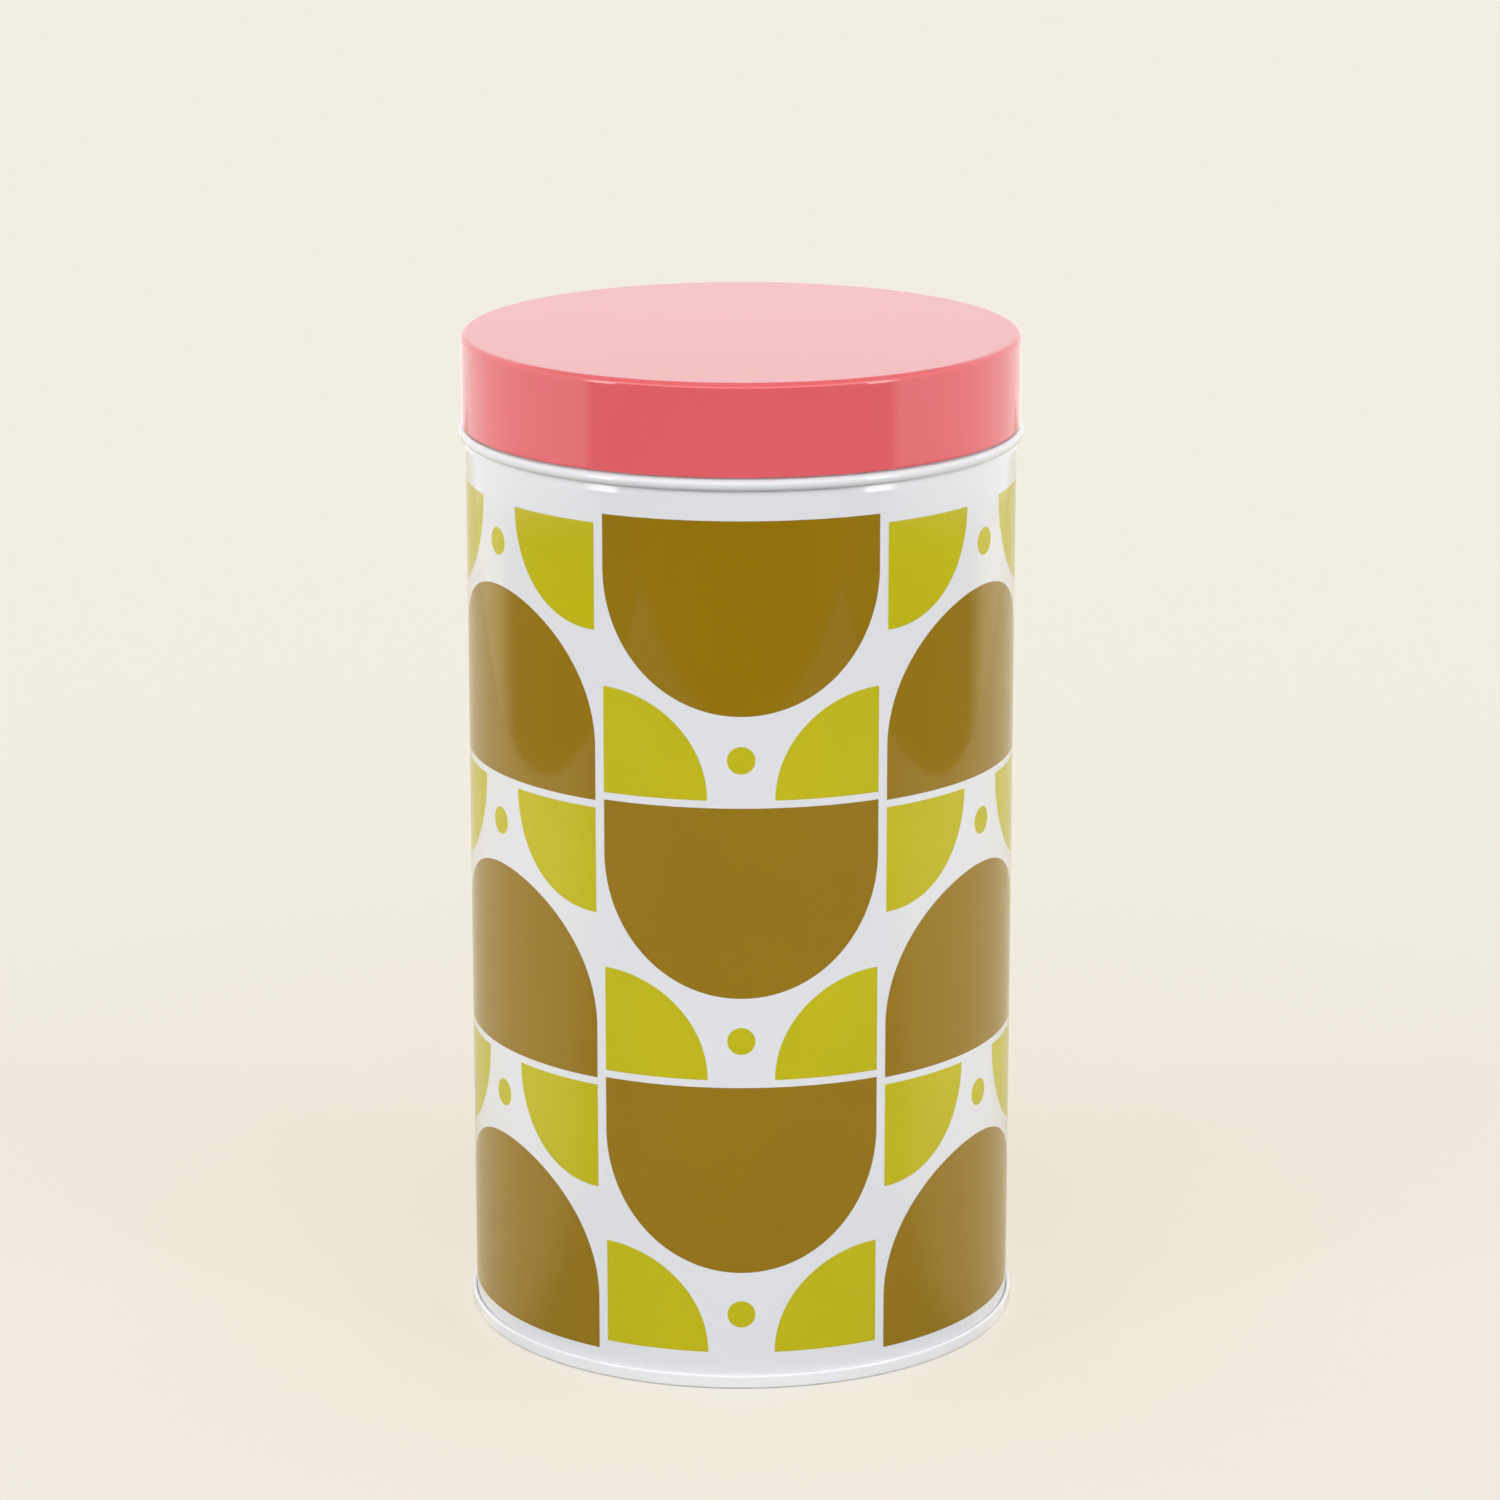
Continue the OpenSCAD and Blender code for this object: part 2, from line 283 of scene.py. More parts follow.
def mixed(tree, share, first, second):
    """One colour over another."""
    made = tree.nodes.new("ShaderNodeMix")
    made.data_type = "RGBA"
    for socket, value in zip((made.inputs[0], made.inputs[6], made.inputs[7]), (share, first, second)):
        if isinstance(value, bpy.types.NodeSocket):
            tree.links.new(value, socket)
        else:
            socket.default_value = value
    return made.outputs[2]


def bumped(tree, shader, height, distance):
    """Raises the shader's surface by a height from 0 to 1 over that distance."""
    bump = node(tree, "ShaderNodeBump", {"Height": height, "Distance": distance, "Strength": 1.0})
    tree.links.new(bump.outputs["Normal"], shader.inputs["Normal"])


def paint(red, green, blue):
    """A linear colour from the numbers of a paint chart, 0 to 255."""
    chart = [channel / 255 for channel in (red, green, blue)]
    return (*[c / 12.92 if c < 0.04045 else ((c + 0.055) / 1.055) ** 2.4 for c in chart], 1)


def clouded(tree, place, colour):
    """A colour that is very slightly uneven."""
    return mixed(tree, maths(tree, "MULTIPLY", noise(tree, place, 28, 3), 0.04), colour, (1, 1, 1, 1))


def gloss_enamel(tree, shader, place, colour):
    """Stoved enamel under a clear varnish: the varnish shines, with the slight orange peel of a
    roller coat, and the paint below it is nearly matt."""
    peel = noise(tree, place, 330, 1.5)
    tree.links.new(colour, shader.inputs["Base Color"])
    tree.links.new(between(tree, noise(tree, place, 28, 3), 0.4, 0.5), shader.inputs["Roughness"])
    shader.inputs["Specular IOR Level"].default_value = 0.08
    shader.inputs["Coat Weight"].default_value = 1
    shader.inputs["Coat Roughness"].default_value = 0.05
    shader.inputs["Coat IOR"].default_value = 1.5
    bumped(tree, shader, peel, 0.01 * mm)


def tinplate_finish():
    """Bright tinplate: a reflective tin coat on fine rolling lines, with a faint crystal mottle."""
    material, tree, shader, place = new_material("bright_tinplate")
    lines = noise(tree, place, 1200, 2, (1, 0.02, 0.02))
    mottle = noise(tree, place, 35, 2)
    tin_colour = mixed(tree, mottle, (0.71, 0.71, 0.705, 1), (0.74, 0.745, 0.75, 1))
    tree.links.new(tin_colour, shader.inputs["Base Color"])
    tree.links.new(between(tree, lines, 0.2, 0.26), shader.inputs["Roughness"])
    shader.inputs["Metallic"].default_value = 1
    bumped(tree, shader, lines, 0.0006 * mm)
    return material


white = paint(226, 227, 231)
olive = paint(152, 119, 5)
olive_deep = paint(145, 112, 3)
spring_green = paint(200, 190, 12)
spring_green_deep = paint(186, 176, 6)
columns = 6
rows = 3
repeat = 53.4 * mm
print_top = 165.8 * mm
print_low = 5.2 * mm
arch_half = 26.2 * mm
arch_side = 10 * mm
quarter_low = 52 * mm
quarter_r = 20 * mm
dot_at = 44.4 * mm
dot_r = 2.6 * mm
ink_edge = 0.05 * mm
seam_margin = 1.2 * mm

bead_out = 1.25 * mm
bead_h = 2.1 * mm
bead_foot_r = 0.4 * mm
bead_pinch = 0.15 * mm
bead_pinch_h = 1.6 * mm
bead_pinch_bend_r = 6 * mm
lid_seat = 0.3 * mm
seam_h = 2.7 * mm
compound_h = 0.3 * mm
curl_r = 1 * mm
hem_gap = 0.05 * mm
hem_layer = sheet + hem_gap
groove_w = 0.4 * mm
groove_depth = 0.1 * mm
fold_w = 5 * mm
fold_step = 0.25 * mm

wall_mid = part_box("body_wall")[1].x - bead_out - sheet / 2
wall_r = wall_mid + sheet / 2
body_hook_mid = wall_mid + 2 * layer
foot_z = sheet / 2 + layer
body_hook_tip = seam_h - sheet / 2 - layer - compound_h
lid_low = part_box("outer_lid")[0].z
bead_top = lid_low - lid_seat
bead_low = bead_top - bead_h
bead_mid = wall_mid + bead_out
bead_nose_r = min((bead_h - sheet) / 2, bead_out - bead_foot_r)
mouth_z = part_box("body_wall")[1].z - sheet / 2
mouth_mid = wall_mid - 2 * curl_r
curl_tip = wall_mid - sheet - seam_gap
base_rise = 4 * mm
ring_rise = 0.7 * mm
fold_margin = 1 * mm
fold_low = base_rise + ring_rise + fold_margin
fold_high = bead_low - bead_pinch_h - fold_margin


def printed_enamel():
    """White enamel with a print in two inks, olive arches with yellow-green quarter rounds and a dot
    between them. Every second column of the print stands on its head."""
    material, tree, shader, place = new_material("printed_enamel")
    axes = node(tree, "ShaderNodeSeparateXYZ", {"Vector": place}).outputs
    facing = way_from_front(tree, axes)
    around = maths(tree, "MULTIPLY", facing, wall_r)
    pitch = math.tau * wall_r / columns
    column = maths(tree, "ROUND", maths(tree, "DIVIDE", around, pitch))
    across = maths(tree, "ABSOLUTE", maths(tree, "SUBTRACT", around, maths(tree, "MULTIPLY", column, pitch)))
    flipped = maths(tree, "MODULO", maths(tree, "ABSOLUTE", column), 2)
    from_top = maths(tree, "SUBTRACT", print_top, axes["Z"])
    from_low = maths(tree, "SUBTRACT", axes["Z"], print_low)
    along = between(tree, flipped, from_top, from_low)
    down = maths(tree, "FLOORED_MODULO", along, repeat)

    def inked(distance):
        """1 inside a shape and 0 outside, from the distance outside its edge."""
        return node(tree, "ShaderNodeMapRange", {
            "Value": distance, "From Min": -ink_edge / 2, "From Max": ink_edge / 2,
            "To Min": 1, "To Max": 0,
        }).outputs["Result"]

    round_part = maths(tree, "MAXIMUM", maths(tree, "SUBTRACT", down, arch_side), 0)
    arch = inked(maths(tree, "SUBTRACT", stride(tree, across, round_part), arch_half))

    to_corner = maths(tree, "SUBTRACT", arch_half, across), maths(tree, "SUBTRACT", quarter_low, down)
    past_straight_sides = maths(tree, "MULTIPLY", maths(tree, "MINIMUM", *to_corner), -1)
    past_round = maths(tree, "SUBTRACT", stride(tree, *to_corner), quarter_r)
    quarter = inked(maths(tree, "MAXIMUM", past_straight_sides, past_round))
    from_dot = stride(tree, across, maths(tree, "SUBTRACT", down, dot_at))
    dot = inked(maths(tree, "SUBTRACT", from_dot, dot_r))

    in_print = maths(tree, "MULTIPLY", maths(tree, "GREATER_THAN", along, 0),
                     maths(tree, "LESS_THAN", along, rows * repeat))
    from_back = maths(tree, "SUBTRACT", math.pi, maths(tree, "ABSOLUTE", facing))
    off_seam = maths(tree, "GREATER_THAN", maths(tree, "MULTIPLY", from_back, wall_r), seam_margin)
    printed = maths(tree, "MULTIPLY", in_print, off_seam)
    density = noise(tree, place, 45, 4)
    green_ink = mixed(tree, density, spring_green, spring_green_deep)
    olive_ink = mixed(tree, density, olive, olive_deep)
    green_part = maths(tree, "MAXIMUM", quarter, dot)
    coat = mixed(tree, maths(tree, "MULTIPLY", green_part, printed), white, green_ink)
    coat = mixed(tree, maths(tree, "MULTIPLY", arch, printed), coat, olive_ink)
    gloss_enamel(tree, shader, place, coat)
    return material


body_coat = printed_enamel()
tinplate = tinplate_finish()
body_wall = spun_piece(
    "tin_body_wall",
    sheet_outline([
        (body_hook_mid, body_hook_tip),
        (body_hook_mid, foot_z, layer),
        (wall_mid, foot_z, layer),
        (wall_mid, fold_low),
        (wall_mid, fold_low + fold_step),
        (wall_mid, fold_high - fold_step),
        (wall_mid, fold_high),
        (wall_mid, bead_low - bead_pinch_h, bead_pinch_bend_r),
        (wall_mid - bead_pinch, bead_low + sheet / 2, bead_foot_r),
        (bead_mid, bead_low + sheet / 2, bead_nose_r),
        (bead_mid, bead_top - sheet / 2, bead_nose_r),
        (wall_mid, bead_top - sheet / 2, bead_foot_r),
        (wall_mid, mouth_z, curl_r),
        (mouth_mid, mouth_z, curl_r),
        (mouth_mid, mouth_z - 2 * curl_r, curl_r),
        (curl_tip, mouth_z - 2 * curl_r),
    ]),
    **{
        "Steps": 384, "Crowding": 0.9, "Wall radius": wall_mid,
        "Seam low": fold_low + fold_step / 2, "Seam high": fold_high - fold_step / 2,
        "Groove depth": groove_depth, "Groove width": groove_w,
        "Fold thickness": 2 * sheet, "Fold width": fold_w,
        "Left finish": tinplate, "Right finish": body_coat, "Edge finish": tinplate,
    },
)
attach(body_wall, "tin")
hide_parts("body_wall")

# ---------------------------------------------------------------------------------------------
# Base end
# A disc of tinplate enamelled white underneath, pressed with a raised panel and two stiffening
# rings. Its rim is rolled together with the foot of the wall into a double seam of five layers,
# the thin white band that the tin stands on.
# ---------------------------------------------------------------------------------------------

# Brighter than the wall's white: partly the base end's own coat, partly painted light standing in for the
# light that the seam band catches.
base_white_with_painted_light = paint(240, 240, 243)
ring_w = 5 * mm
ring_inset = 6 * mm
ring_pitch = 21 * mm
panel_corner_r = 0.8 * mm
seam_corner_r = 0.4 * mm
chuck_mid = wall_mid - layer
cover_hook_mid = wall_mid + layer
seam_mid = wall_mid + 3 * layer


def ring(inner_r, height):
    """The corners of a stiffening ring pressed into a panel."""
    outer_r = inner_r + ring_w
    return [
        (inner_r, height, ring_rise),
        (inner_r + ring_rise, height + ring_rise, ring_rise),
        (outer_r - ring_rise, height + ring_rise, ring_rise),
        (outer_r, height, ring_rise),
    ]


def plain_enamel():
    """The same enamel with no print, in a brighter white that is partly the base end's own coat and partly
    painted light for the light the seam band catches.
    """
    material, tree, shader, place = new_material("plain_enamel")
    gloss_enamel(tree, shader, place, clouded(tree, place, base_white_with_painted_light))
    return material


outer_ring_r = chuck_mid - ring_inset - ring_w
base_end = spun_piece(
    "tin_base_end",
    sheet_outline(
        [(0, base_rise)] + ring(outer_ring_r - ring_pitch, base_rise) + ring(outer_ring_r, base_rise) + [
            (chuck_mid, base_rise, panel_corner_r),
            (chuck_mid, sheet / 2, seam_corner_r),
            (seam_mid, sheet / 2, seam_corner_r),
            (seam_mid, seam_h - sheet / 2, layer),
            (cover_hook_mid, seam_h - sheet / 2, layer),
            (cover_hook_mid, foot_z + layer),
        ]
    ),
    **{"Steps": 256, "Left finish": tinplate, "Right finish": plain_enamel(), "Edge finish": tinplate},
)
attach(base_end, "tin")
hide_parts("base_end")

# ---------------------------------------------------------------------------------------------
# Sealing compound
# A bead of rubbery compound, run into the rim of the base end while wet, which fills the top of
# the fold when the seam is rolled. It can't be seen once the seam is closed.
# ---------------------------------------------------------------------------------------------


def compound_finish():
    """Dried solvent rubber, matt and slightly grainy."""
    material, tree, shader, place = new_material("seam_compound")
    grain = noise(tree, place, 1500, 3)
    tree.links.new(mixed(tree, grain, paint(70, 70, 68), paint(92, 92, 88)), shader.inputs["Base Color"])
    tree.links.new(between(tree, grain, 0.7, 0.85), shader.inputs["Roughness"])
    bumped(tree, shader, grain, 0.02 * mm)
    return material


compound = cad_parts["base_seam_compound"]
compound.data.materials.clear()
compound.data.materials.append(compound_finish())

# ---------------------------------------------------------------------------------------------
# Inner lid: pan
# A dish drawn from bright tinplate, with a stiffening ring, a rib rolled into its side to carry
# the seal, and a flange hemmed under so that no cut edge shows. It presses into the mouth.
# ---------------------------------------------------------------------------------------------

inner_depth = 11 * mm
inner_ring_inset = 13 * mm
flange_hem = 2.2 * mm
flange_inset = 0.15 * mm
flange_corner_r = 0.6 * mm
pan_corner_r = 1.6 * mm
rib_h = 1.6 * mm
rib_out = 0.7 * mm
rib_bend_r = 0.3 * mm
seal_h = 5.4 * mm
seal_t = 0.8 * mm
fin_out = 0.75 * mm
seal_fit = 0.12 * mm
screw_d = 3 * mm
hole_play = 0.2 * mm

flange_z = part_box("inner_lid_pan")[1].z - sheet / 2
flange_mid = wall_mid - flange_inset
pan_z = flange_z - inner_depth
fin_r = mouth_mid - sheet / 2 - seal_fit
seal_r = fin_r - fin_out - seal_t
plug_mid = seal_r - seam_gap - sheet / 2
seal_top = flange_z - sheet / 2 - flange_corner_r
rib_top = seal_top - seal_h - seam_gap
pan_ring_r = plug_mid - inner_ring_inset - ring_w

pan = spun_piece(
    "inner_lid_dish",
    sheet_outline(
        [(screw_d / 2 + hole_play, pan_z)] + ring(pan_ring_r, pan_z) + [
            (plug_mid, pan_z, pan_corner_r),
            (plug_mid, rib_top - rib_h, rib_bend_r),
            (plug_mid + rib_out, rib_top - rib_h / 2, rib_bend_r),
            (plug_mid, rib_top, rib_bend_r),
            (plug_mid, flange_z, flange_corner_r),
            (flange_mid, flange_z, hem_layer / 2),
            (flange_mid, flange_z - hem_layer, hem_layer / 2),
            (flange_mid - flange_hem, flange_z - hem_layer),
        ]
    ),
    **{"Steps": 256, "Left finish": tinplate, "Right finish": tinplate, "Edge finish": tinplate},
)
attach(pan, "inner_lid")
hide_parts("inner_lid_pan")

# ---------------------------------------------------------------------------------------------
# Inner lid: seal
# A ring moulded from translucent white silicone and stretched over the dish above its rib, with
# three soft fins that bend against the curled mouth.
# ---------------------------------------------------------------------------------------------

fin_count = 3
fin_root_h = 0.7 * mm
fin_slope = 0.21 * mm
fin_tip_h = 0.2 * mm
fin_round_r = 0.08 * mm
seal_round_r = 0.15 * mm


def silicone_finish():
    """Moulded silicone: milky, a little light goes through it, with a fine satin skin."""
    material, tree, shader, place = new_material("white_silicone")
    skin = noise(tree, place, 2200, 2)
    cloud = noise(tree, place, 90, 2)
    milk = mixed(tree, cloud, paint(222, 222, 214), paint(234, 234, 228))
    tree.links.new(milk, shader.inputs["Base Color"])
    tree.links.new(between(tree, skin, 0.42, 0.55), shader.inputs["Roughness"])
    shader.inputs["Subsurface Weight"].default_value = 0.35
    shader.inputs["Subsurface Radius"].default_value = (1.2 * mm, 1.1 * mm, 0.9 * mm)
    shader.inputs["Subsurface Scale"].default_value = 1
    bumped(tree, shader, skin, 0.008 * mm)
    return material


def solid_outline(corners):
    """The closed outline of a solid piece."""
    line = bent_line(corners)
    if (line[0] - line[-1]).length < same_place:
        line.pop()
    return line, [0] * len(line)


seal_back = seal_r + seal_t
seal_low = seal_top - seal_h
fin_pitch = (seal_h - fin_root_h) / fin_count
halfway_up_seal = (seal_r, seal_top - seal_h / 2)
seal_corners = [halfway_up_seal, (seal_r, seal_low, seal_round_r), (seal_back, seal_low, seal_round_r)]
for i in range(fin_count):
    fin_low = seal_low + fin_pitch * (i + 0.5)
    fin_top = fin_low + fin_root_h
    seal_corners += [
        (seal_back, fin_low + fin_slope, fin_round_r),
        (fin_r, fin_top - fin_tip_h, fin_round_r),
        (fin_r, fin_top, fin_round_r),
        (seal_back, fin_top, fin_round_r),
    ]
seal_corners += [(seal_back, seal_top, seal_round_r), (seal_r, seal_top, seal_round_r), halfway_up_seal]

silicone = silicone_finish()
seal = spun_piece(
    "inner_lid_silicone_seal", solid_outline(seal_corners), **{"Steps": 256, "Left finish": silicone},
)
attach(seal, "inner_lid")
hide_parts("inner_lid_seal")

# ---------------------------------------------------------------------------------------------
# Inner lid: washer and screw
# A silicone washer under the dish keeps the screw's hole tight, and a cross-slotted pan-head
# screw of zinc-plated steel goes up through both into the knob.
# ---------------------------------------------------------------------------------------------

washer_t = 1 * mm
washer_round_r = 0.12 * mm
washer_r = screw_d * 1.5
washer_top = pan_z - sheet / 2
washer_low = washer_top - washer_t
bore_play = 0.05 * mm
knob_bore_r = screw_d / 2 + bore_play
halfway_up_bore = (knob_bore_r, washer_low + washer_t / 2)
washer = spun_piece(
    "knob_sealing_washer",
    solid_outline([
        halfway_up_bore,
        (knob_bore_r, washer_low, washer_round_r),
        (washer_r, washer_low, washer_round_r),
        (washer_r, washer_top, washer_round_r),
        (knob_bore_r, washer_top, washer_round_r),
        halfway_up_bore,
    ]),
    **{"Steps": 96, "Left finish": silicone},
)
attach(washer, "inner_lid")
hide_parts("knob_washer")

screw_grip = 5 * mm
thread_pitch = 0.5 * mm
thread_depth = 0.12 * mm
head_r = screw_d * 0.93
head_h = screw_d * 0.65
head_taper = screw_d * 0.19
head_round_r = 0.5 * mm
head_edge_r = 0.1 * mm
point_h = 0.2 * mm
point_r = 1 * mm
slot_w = screw_d * 0.2
slot_l = screw_d * 1.02
slot_depth = head_h / 2


def zinc_finish():
    """Bright zinc plating, faintly blue, with a soft uneven grain."""
    material, tree, shader, place = new_material("zinc_plating")
    grain = noise(tree, place, 1800, 3)
    zinc_colour = mixed(tree, grain, (0.6, 0.62, 0.66, 1), (0.72, 0.73, 0.76, 1))
    tree.links.new(zinc_colour, shader.inputs["Base Color"])
    tree.links.new(between(tree, grain, 0.22, 0.38), shader.inputs["Roughness"])
    shader.inputs["Metallic"].default_value = 1
    bumped(tree, shader, grain, 0.006 * mm)
    return material


screw_top = washer_top + sheet + screw_grip
screw_corners = [
    (0, washer_low - head_h),
    (head_r - head_taper, washer_low - head_h, head_round_r),
    (head_r, washer_low, head_edge_r),
    (screw_d / 2, washer_low),
]
thread_root_r = screw_d / 2 - thread_depth
turns = int((screw_top - washer_low - screw_d / 4) / thread_pitch)
for turn in range(turns):
    thread_z = washer_low + thread_pitch * (turn + 0.5)
    screw_corners += [(thread_root_r, thread_z), (screw_d / 2, thread_z + thread_pitch / 2)]
screw_corners += [(thread_root_r, screw_top - point_h), (point_r, screw_top), (0, screw_top)]
screw = spun_piece(
    "knob_pan_head_screw", solid_outline(screw_corners), **{"Steps": 64, "Left finish": zinc_finish()},
)
for slot_x, slot_y in ((slot_l, slot_w), (slot_w, slot_l)):
    slot_mesh = bpy.data.meshes.new("slot_cutter")
    corners = [
        (x * slot_x / 2, y * slot_y / 2, washer_low - head_h + z * slot_depth)
        for z in (-1, 1) for x, y in ((-1, -1), (1, -1), (1, 1), (-1, 1))
    ]
    slot_mesh.from_pydata(corners, [], [
        (3, 2, 1, 0), (4, 5, 6, 7), (0, 1, 5, 4), (1, 2, 6, 5), (2, 3, 7, 6), (3, 0, 4, 7),
    ])
    cutter = bpy.data.objects.new("slot_cutter", slot_mesh)
    bpy.context.scene.collection.objects.link(cutter)
    cut = screw.modifiers.new("slot", "BOOLEAN")
    cut.operation, cut.solver, cut.object = "DIFFERENCE", "EXACT", cutter
    slotted = bpy.data.meshes.new_from_object(screw.evaluated_get(bpy.context.evaluated_depsgraph_get()))
    screw.modifiers.clear()
    screw.data = slotted
    bpy.data.objects.remove(cutter)
screw.data.set_sharp_from_angle(angle=sharp_angle)
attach(screw, "inner_lid")
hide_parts("knob_screw")

# ---------------------------------------------------------------------------------------------
# Inner lid: knob
# Turned from aluminium bar on a lathe, with a wide head to pull by, a narrow waist and a foot
# that spreads on the dish. The tool leaves fine rings on it.
# ---------------------------------------------------------------------------------------------

knob_drop = 1.4 * mm
knob_d = 19 * mm
knob_foot_d = 12 * mm
knob_waist_d = 8.4 * mm
knob_foot_h = 1.6 * mm
knob_foot_slope = 0.6 * mm
knob_head_h = 4 * mm
knob_head_slope = 1 * mm
knob_dish = 0.35 * mm
knob_dish_r = 5.5 * mm
bore_spare = 0.6 * mm
foot_low_r = 0.3 * mm
foot_high_r = 0.5 * mm
waist_bend_r = 0.8 * mm
head_top_r = 1.6 * mm
dish_bend_r = 0.4 * mm


def turned_finish():
    """Turned aluminium: bright, with the fine rings of the lathe tool."""
    material, tree, shader, place = new_material("turned_aluminium")
    axes = node(tree, "ShaderNodeSeparateXYZ", {"Vector": place}).outputs
    along = maths(tree, "ADD", stride(tree, axes["X"], axes["Y"]), axes["Z"])
    feed = maths(tree, "PINGPONG", maths(tree, "DIVIDE", along, 0.12 * mm), 1)
    cloud = noise(tree, place, 300, 3)
    aluminium = mixed(tree, cloud, (0.76, 0.765, 0.775, 1), (0.85, 0.855, 0.865, 1))
    tree.links.new(aluminium, shader.inputs["Base Color"])
    tree.links.new(between(tree, cloud, 0.18, 0.3), shader.inputs["Roughness"])
    shader.inputs["Metallic"].default_value = 1
    bumped(tree, shader, feed, 0.006 * mm)
    return material


knob_low = pan_z + sheet / 2
knob_top = flange_z - knob_drop
knob_head_low = knob_top - knob_head_h
knob = spun_piece(
    "inner_lid_turned_knob",
    solid_outline([
        (0, knob_low + screw_grip + bore_spare),
        (knob_bore_r, knob_low + screw_grip + bore_spare),
        (knob_bore_r, knob_low),
        (knob_foot_d / 2, knob_low, foot_low_r),
        (knob_foot_d / 2, knob_low + knob_foot_h, foot_high_r),
        (knob_waist_d / 2, knob_low + knob_foot_h + knob_foot_slope, waist_bend_r),
        (knob_waist_d / 2, knob_head_low - knob_head_slope, waist_bend_r),
        (knob_d / 2, knob_head_low, waist_bend_r),
        (knob_d / 2, knob_top, head_top_r),
        (knob_dish_r, knob_top, dish_bend_r),
        (knob_dish_r - knob_dish, knob_top - knob_dish, dish_bend_r),
        (0, knob_top - knob_dish),
    ]),
    **{"Steps": 160, "Left finish": turned_finish()},
)
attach(knob, "inner_lid")
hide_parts("inner_lid_knob")

# ---------------------------------------------------------------------------------------------
# Outer lid
# A shallow cap drawn from tinplate, coral enamel outside and bare inside, with a small rounded
# top edge. Its rim is hemmed inwards, and the hem slides down the neck until it meets the bead.
# ---------------------------------------------------------------------------------------------

coral = paint(227, 90, 97)
lid_edge_r = 1 * mm
hem_h = 2.4 * mm
lid_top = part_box("outer_lid")[1].z
lid_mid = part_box("outer_lid")[1].x - sheet / 2
hem_mid = lid_mid - hem_layer


def coral_enamel():
    """Gloss coral enamel."""
    material, tree, shader, place = new_material("coral_enamel")
    gloss_enamel(tree, shader, place, clouded(tree, place, coral))
    return material


outer_lid = spun_piece(
    "tin_outer_lid",
    sheet_outline([
        (0, lid_top - sheet / 2),
        (lid_mid, lid_top - sheet / 2, lid_edge_r),
        (lid_mid, lid_low + sheet / 2, hem_layer / 2),
        (hem_mid, lid_low + sheet / 2, hem_layer / 2),
        (hem_mid, lid_low + hem_h),
    ]),
    **{"Steps": 320, "Left finish": coral_enamel(), "Right finish": tinplate, "Edge finish": tinplate},
)
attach(outer_lid, "outer_lid")
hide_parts("outer_lid")

# ---------------------------------------------------------------------------------------------
# Studio
# A plain cream floor and backdrop, which only the camera sees. The light is a white tent, open and dim
# in front where the camera looks in, with a tall softbox on each side of the opening and a lamp panel
# over it. The tin's varnish reflects a small table, dull in front of the tin and cream beside it.
# ---------------------------------------------------------------------------------------------

scene = bpy.context.scene
scene.view_settings.view_transform = "Standard"
cream = paint(242, 237, 225)
stage_half = 8
floor_glow = (0.545, 0.465, 0.357)
floor_paint = (0.36, 0.4, 0.42)
table_half_width = 0.46
table_front = 0.54
table_back = 0.8
table_drop = 0.5 * mm
table_dull = (0.26, 0.26, 0.26, 1)
table_light = (0.82, 0.75, 0.57, 1)


def stage_piece(name, mesh, colour, glow):
    """A piece of the stage with a matt paint and a glow of its own."""
    material, tree, shader, place = new_material(name)
    shader.inputs["Base Color"].default_value = (*colour, 1)
    shader.inputs["Roughness"].default_value = 1
    shader.inputs["Specular IOR Level"].default_value = 0
    shader.inputs["Emission Color"].default_value = (*glow, 1)
    shader.inputs["Emission Strength"].default_value = 1
    mesh.materials.append(material)
    made = bpy.data.objects.new(name, mesh)
    scene.collection.objects.link(made)
    return made, tree, shader, place


def sheet_mesh(name, left, right, front, back, height):
    """A level rectangle."""
    made = bpy.data.meshes.new(name)
    corners = [(left, front, height), (right, front, height), (right, back, height), (left, back, height)]
    made.from_pydata(corners, [], [(0, 1, 2, 3)])
    return made


def only_for_camera(made):
    """Hides a stage piece from the light, so that its cream doesn't tint the tin."""
    made.visible_diffuse = made.visible_glossy = False
    made.visible_transmission = made.visible_shadow = False


floor_mesh = sheet_mesh("floor", -stage_half, stage_half, -stage_half, stage_half, 0)
floor = stage_piece("floor", floor_mesh, floor_paint, floor_glow)[0]
only_for_camera(floor)
backdrop_mesh = bpy.data.meshes.new("backdrop")
shape = bmesh.new()
bmesh.ops.create_cone(
    shape, segments=64, radius1=stage_half, radius2=stage_half, depth=2 * stage_half, cap_ends=True,
)
shape.to_mesh(backdrop_mesh)
shape.free()
backdrop = stage_piece("backdrop", backdrop_mesh, (0, 0, 0), cream[:3])[0]
only_for_camera(backdrop)

table_mesh = sheet_mesh("table", -table_half_width, table_half_width, -table_front, table_back, -table_drop)
table, table_tree, table_shader, table_place = stage_piece("table", table_mesh, (0, 0, 0), (0, 0, 0))
table.visible_camera = False
table_axes = node(table_tree, "ShaderNodeSeparateXYZ", {"Vector": table_place}).outputs
table_share = node(table_tree, "ShaderNodeMapRange", {
    "Value": maths(table_tree, "ABSOLUTE", way_from_front(table_tree, table_axes)),
    "From Min": math.radians(58), "From Max": math.radians(72),
}).outputs["Result"]
table_colour = mixed(table_tree, table_share, table_dull, table_light)
table_tree.links.new(table_colour, table_shader.inputs["Base Color"])

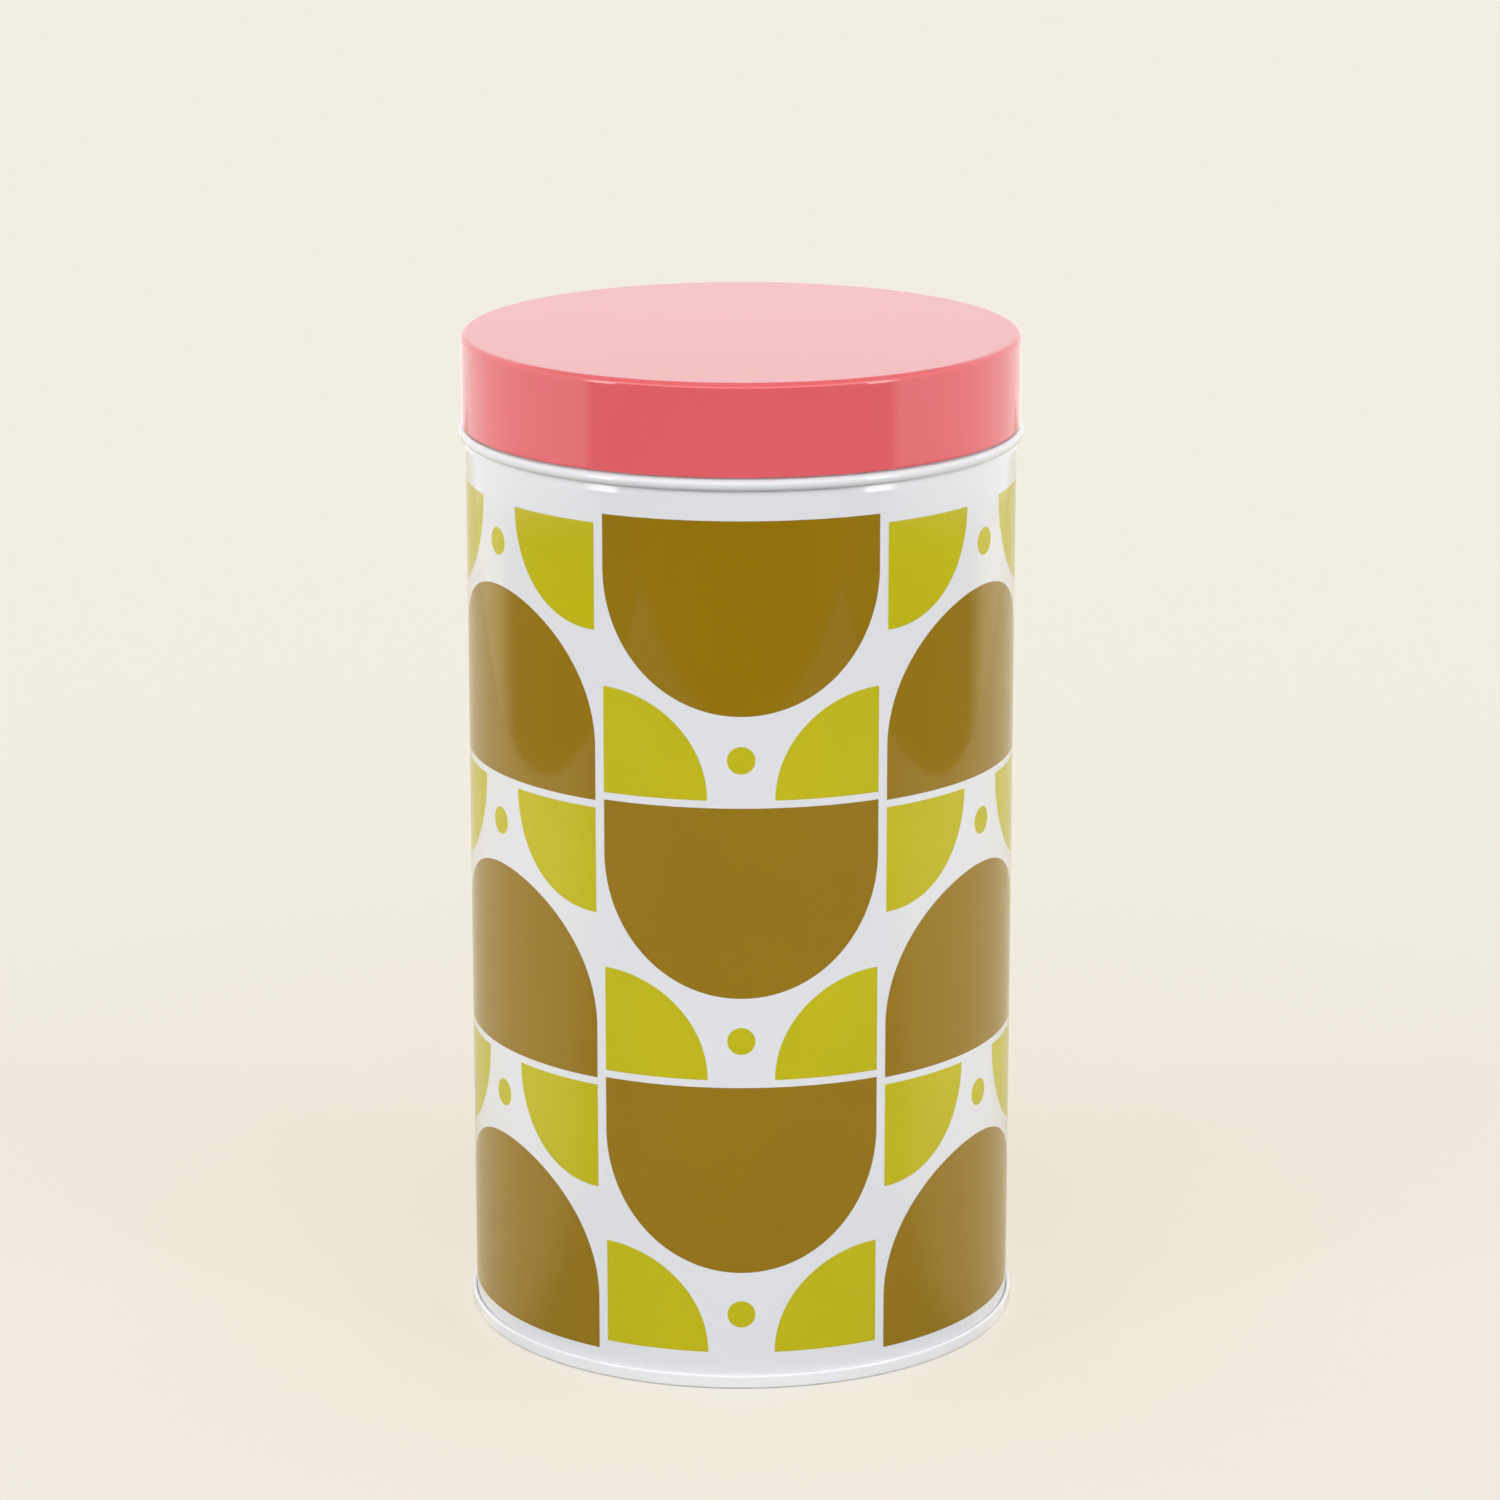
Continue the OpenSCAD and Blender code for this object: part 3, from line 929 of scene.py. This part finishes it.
tent_glow = 1.15
front_light_glow = 2.9
softbox_glow = 7
roof_glow = 0.42
sweep_glow = (1.08, 0.97, 0.66, 1)
dark = 0.02

world = bpy.data.worlds.new("tent")
world.use_nodes = True
scene.world = world
tent = world.node_tree

# Degrees round from the front, either way, and degrees up from level
sky = tent.nodes.new("ShaderNodeTexCoord").outputs["Generated"]
looking = node(tent, "ShaderNodeSeparateXYZ", {"Vector": sky}).outputs
way_round = maths(tent, "DEGREES", maths(tent, "ABSOLUTE", way_from_front(tent, looking)))
way_up = maths(tent, "DEGREES", maths(tent, "ARCSINE", looking["Z"]))


def step(value, start, end, low, high):
    """A soft step from low to high as value goes from start to end."""
    return node(tent, "ShaderNodeMapRange", {
        "Value": value, "From Min": start, "From Max": end, "To Min": low, "To Max": high,
    }, interpolation_type="SMOOTHSTEP").outputs["Result"]


# The panel over the opening, a softbox on each side, the tent's wall, its roof and the cream sweep behind
front_light = step(way_up, 13, 17, dark, front_light_glow)
softbox_face = step(way_up, -7, -5, dark, step(way_up, 18, 26, softbox_glow, front_light_glow))
wall = step(way_up, -12.6, -12.2, dark, tent_glow)
glow = step(way_round, 51, 53, front_light, softbox_face)
glow = step(way_round, 62, 68, glow, wall)
glow = step(way_up, 36, 44, glow, roof_glow)
sweep = maths(tent, "MULTIPLY", step(way_up, -12.6, -12.2, 1, 0), step(way_round, 108, 124, 0, 1))
tent.links.new(mixed(tent, sweep, glow, sweep_glow), tent.nodes["Background"].inputs["Color"])

# ---------------------------------------------------------------------------------------------
# Camera
# A long lens a metre in front of the tin, with the whole tin in the middle of the frame. It looks down
# on the tin by fifteen degrees, so that the top of the lid shows.
# ---------------------------------------------------------------------------------------------

camera_distance = 988.1 * mm
camera_above_lid = 182.9 * mm
camera_dip = math.radians(14.975)
camera_yaw = -0.0017
lens = bpy.data.cameras.new("camera")
lens.lens = 128.5
lens.sensor_width = 36
camera = bpy.data.objects.new("camera", lens)
camera.location = (0, -camera_distance, lid_top + camera_above_lid)
camera.rotation_euler = (math.pi / 2 - camera_dip, 0, camera_yaw)
scene.collection.objects.link(camera)
scene.camera = camera
